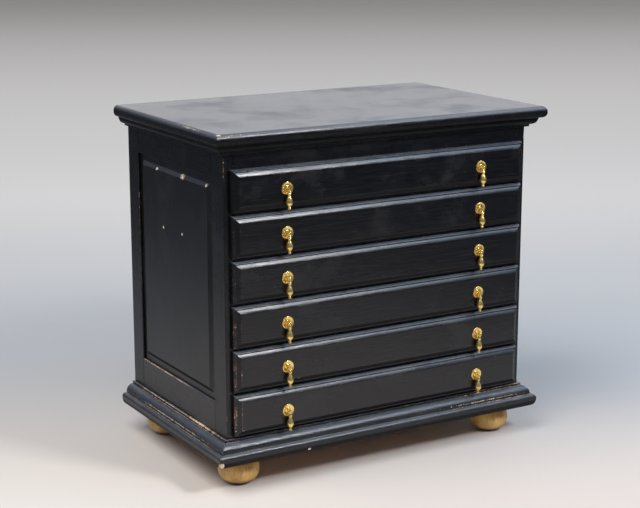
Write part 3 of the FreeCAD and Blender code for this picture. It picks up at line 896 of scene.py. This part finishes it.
def pull_wire():
    """Two legs and a bar: a disc is extruded and spun along the path of the wire."""
    inside = field_y + 6 * MM
    bpy.ops.object.select_all(action="DESELECT")
    bpy.ops.mesh.primitive_circle_add(vertices=14, radius=WIRE, fill_type="NGON",
                                      location=(pull_home.x - SPREAD, inside, pull_home.z),
                                      rotation=(math.radians(90), 0, 0))
    wire = bpy.context.object
    wire.name = "pull_wire"
    bpy.ops.object.transform_apply(location=True, rotation=True, scale=True)
    begin_edit(wire)
    bpy.ops.mesh.select_all(action="SELECT")
    leg = inside - pull_home.y - BEND
    corner = Vector((pull_home.x - SPREAD + BEND, pull_home.y + BEND, pull_home.z))
    bpy.ops.mesh.extrude_region_move(TRANSFORM_OT_translate={"value": (0, -leg, 0)})
    bpy.ops.mesh.spin(steps=5, angle=math.radians(90), center=corner, axis=(0, 0, 1))
    bar = 2 * (SPREAD - BEND)
    bpy.ops.mesh.extrude_region_move(TRANSFORM_OT_translate={"value": (bar, 0, 0)})
    bpy.ops.mesh.spin(steps=5, angle=math.radians(90), center=corner + Vector((bar, 0, 0)),
                      axis=(0, 0, 1))
    bpy.ops.mesh.extrude_region_move(TRANSFORM_OT_translate={"value": (0, leg, 0)})
    bpy.ops.mesh.select_all(action="SELECT")
    bpy.ops.mesh.remove_doubles(threshold=1e-6)
    bpy.ops.mesh.normals_make_consistent(inside=False)
    end_edit()
    return wire


def pull_drop():
    """The teardrop, with a ring for an eye."""
    drop = settle(lathe("pull_drop", flowing(TEARDROP), points=32), Matrix.Translation(pull_home))
    bpy.ops.object.select_all(action="DESELECT")
    bpy.ops.mesh.primitive_torus_add(major_radius=EYE_RING, minor_radius=EYE_WIRE,
                                     major_segments=28, minor_segments=14, location=pull_home,
                                     rotation=(0, math.radians(90), 0))
    eye = bpy.context.object
    bpy.ops.object.transform_apply(location=True, rotation=True, scale=True)
    apply_modifier(drop, "BOOLEAN", operation="UNION", object=eye, solver="EXACT")
    bpy.data.objects.remove(eye)
    return drop


brass = polished_brass("polished_brass")
plate, wire, drop = pull_plate(), pull_wire(), pull_drop()
for piece in (plate, wire, drop):
    dress(piece, brass)
    smooth(piece, 50.0)
print("one pull:", [(p.name, len(p.data.polygons)) for p in (plate, wire, drop)])

# %% Hang a pull at every place
for number in DRAWERS:
    plates = []
    for side in ("left", "right"):
        body = "drop_%d_%s" % (number, side)
        shift = pivots[body] - pull_home
        node = "drawer_%d_drop_%s" % (number, side)
        hung = copy_of(drop, node + "_turned", shift)
        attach(hung, body)
        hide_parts(node)
        plates += [copy_of(plate, "plate_" + body, shift), copy_of(wire, "wire_" + body, shift)]
    drawer = "drawer_%d" % number
    pulls = joined(plates, drawer + "_plates_and_wires")
    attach(pulls, drawer)
    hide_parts(drawer + "_pull_plates")
for pattern in (plate, wire, drop):
    bpy.data.objects.remove(pattern)

# %% [markdown]
# ## Bun feet
# A bun foot is a ball flattened by the turner, flat where it meets the floor and the base. Its outline
# is one arc. A dowel at its top goes up into the base.

# %% Turn the feet
FOOT_HEIGHT = 56.0
FOOT_RADIUS = 40.5
FOOT_FLAT = 17.0
DOWEL_RADIUS = 10.0
DOWEL_RISE = 9.0
CENTRE = 0.5                # rings end this near the axis, so that no face has a zero edge


def bun_outline():
    half, swell = FOOT_HEIGHT / 2, FOOT_RADIUS - FOOT_FLAT
    arc = (half * half + swell * swell) / (2 * swell)
    steep = math.asin(half / arc)
    steep = math.pi - steep if swell > arc else steep
    rings = []
    for step in range(-9, 10):
        angle = steep * step / 9
        rings.append((FOOT_RADIUS - arc + arc * math.cos(angle), half + arc * math.sin(angle)))
    dowel_top = FOOT_HEIGHT + DOWEL_RISE
    dowel = [(DOWEL_RADIUS, FOOT_HEIGHT), (DOWEL_RADIUS, dowel_top), (CENTRE, dowel_top)]
    return [(CENTRE, 0.0)] + rings + dowel


bun = lathe("bun", bun_outline(), points=64)
for end in ("front", "rear"):
    for side in ("left", "right"):
        node = "foot_%s_%s" % (end, side)
        low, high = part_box(node)
        centre = Vector(((low.x + high.x) / 2, (low.y + high.y) / 2, 0))
        foot = copy_of(bun, node + "_turned", centre)
        dress(foot, golden_wood("golden_wood_" + node, tuple(centre)))
        smooth(foot, 40.0)
        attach(foot, "cabinet")
        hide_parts(node)
bpy.data.objects.remove(bun)
print("feet turned")

# %% [markdown]
# ## Floor, light and camera
# The floor isn't plain. Its colours are laid out from the camera's direction: pale inside the camera's
# view, dark outside it, and glowing a little further back, so that the black paint mirrors a dark
# surround. From any other direction the dark part comes into sight. A small bright lamp at the front
# right makes the highlights on the left ends of the bevels, and a bluish window carries them to the
# right. Some lamps aren't physical: the ceiling and the backdrop are only mirrored, and the fill only
# washes. The camera stands at the front left, a little above the chest.

# %% Floor
FLOOR_SIZE = 40.0
VIEW_HALF = 0.64            # half the width of the camera's view level with the chest, in metres
VIEW_SPREAD = 0.205         # how much that grows for each metre further back
# Painted shade on the floor: darker at the right by the chest, further back and far away.
NEAR_PAINTED_SHADES = (rgb(226, 219, 211), rgb(214, 204, 197))    # by the chest: at the left, at the right
BACK_PAINTED_SHADE = rgb(206, 208, 210)
FAR_PAINTED_SHADE = rgb(120, 114, 110)
# a painted dark outside the camera's view, for the paint to mirror
OUTSIDE_PAINTED_DARK = rgb(44, 54, 66)
NO_GLOW = rgb(0, 0, 0)
BACK_GLOW = rgb(167, 161, 154)
FAR_GLOW = rgb(107, 102, 98)
bpy.ops.object.select_all(action="DESELECT")
bpy.ops.mesh.primitive_plane_add(size=FLOOR_SIZE, location=(0, 0, 0))
floor = bpy.context.object
floor.name = "floor"
paper = Finish("studio_paper_painted_light")
CAMERA_AZIMUTH = -30.62
CAMERA_ELEVATION = 13.32
azimuth, elevation = math.radians(CAMERA_AZIMUTH), math.radians(CAMERA_ELEVATION)
AWAY = (-math.sin(azimuth), math.cos(azimuth), 0.0)         # along the floor, away from the camera
ACROSS = (math.cos(azimuth), math.sin(azimuth), 0.0)        # along the floor, to the camera's right


def along_floor(direction):
    return paper.node("ShaderNodeVectorMath", {"operation": "DOT_PRODUCT"},
                      {0: paper.place, 1: direction}, "Value")


depth, side = along_floor(AWAY), along_floor(ACROSS)
# The floor's colour is painted shade laid across and along it, with a painted dark outside the view.
near_painted_shade = paper.mix(side.ramp(-0.7, 0.8), *NEAR_PAINTED_SHADES)
mid_painted_shade = paper.mix(depth.ramp(-0.4, 0.6), near_painted_shade, BACK_PAINTED_SHADE)
beyond = side.sum("ABSOLUTE", side) - depth * VIEW_SPREAD - VIEW_HALF     # metres outside the view
outside_view = beyond.ramp(0.1, 1.1).most((0.0 - depth).ramp(0.6, 1.8)) * 0.9
far = depth.ramp(4.0, 12.5)
floor_with_painted_shade = paper.mix(outside_view, paper.mix(far, mid_painted_shade, FAR_PAINTED_SHADE), OUTSIDE_PAINTED_DARK)
back_glow = paper.mix(far, paper.mix(depth.ramp(0.3, 2.8), NO_GLOW, BACK_GLOW), FAR_GLOW)
paper.set(Base_Color=floor_with_painted_shade, Roughness=0.7, Emission_Color=paper.mix(outside_view, back_glow, NO_GLOW))
paper.shader.inputs["Emission Strength"].default_value = 1.0
dress(floor, paper)

# %% Lights
MIDDLE = Vector((0, 0, 0.4))


def outwards(turn, rise):
    """The direction from the chest to a stand, turned from the front and raised."""
    return Vector((math.sin(turn) * math.cos(rise), -math.cos(turn) * math.cos(rise), math.sin(rise)))


def soft_light(name, turn, rise, distance, size, power, colour, sheen=True, wash=True):
    """A soft light that looks at the middle of the chest from a turn and a rise in degrees.

    Without sheen it is not mirrored in the paint, and without wash it is only mirrored.
    """
    back = outwards(math.radians(turn), math.radians(rise))
    light = bpy.data.lights.new(name, "AREA")
    light.shape = "RECTANGLE"
    light.size, light.size_y = size
    light.energy = power
    light.color = colour
    lamp = bpy.data.objects.new(name, light)
    lamp.location = MIDDLE + back * distance
    lamp.rotation_mode = "QUATERNION"
    lamp.rotation_quaternion = (-back).to_track_quat("-Z", "Y")
    lamp.visible_camera = False
    lamp.visible_glossy = sheen
    lamp.visible_diffuse = wash
    bpy.context.scene.collection.objects.link(lamp)


soft_light("key_light", 22, 38, 2.8, (0.52, 0.56), 42, (1.0, 0.96, 0.93))
soft_light("window_light", 44, 44, 3.4, (1.6, 1.4), 27, (0.45, 0.72, 1.0))
soft_light("ceiling_light", 85, 60, 3.4, (2.4, 2.0), 34, (1.0, 0.93, 0.9), wash=False)
soft_light("left_light", -80, 52, 3.2, (2.6, 2.2), 34, (1.0, 0.97, 0.94))
soft_light("fill_light", -70, 55, 3.2, (2.6, 2.2), 70, (1.0, 0.95, 0.91), sheen=False)
soft_light("backdrop_light", 180 + CAMERA_AZIMUTH, 14, 14.0, (18.0, 6.0), 385, (1.0, 0.97, 0.93),
           wash=False)
world = bpy.data.worlds.new("studio_room")
world.use_nodes = True
bpy.context.scene.world = world
room = world.node_tree.nodes["Background"]
room.inputs["Color"].default_value = rgb(176, 200, 236)
room.inputs["Strength"].default_value = 0.22

# %% Camera
CAMERA_LENS = 88.01
CAMERA_PLACE = (-1.6058, -2.6732, 1.1193)
back = outwards(azimuth, elevation)
camera = bpy.data.objects.new("camera", bpy.data.cameras.new("camera"))
camera.data.lens = CAMERA_LENS
camera.data.sensor_width = 36.0
camera.data.clip_end = 100.0
camera.location = CAMERA_PLACE
camera.rotation_mode = "QUATERNION"
camera.rotation_quaternion = (-back).to_track_quat("-Z", "Y")
bpy.context.scene.collection.objects.link(camera)
bpy.context.scene.camera = camera
bpy.context.scene.view_settings.view_transform = "Standard"
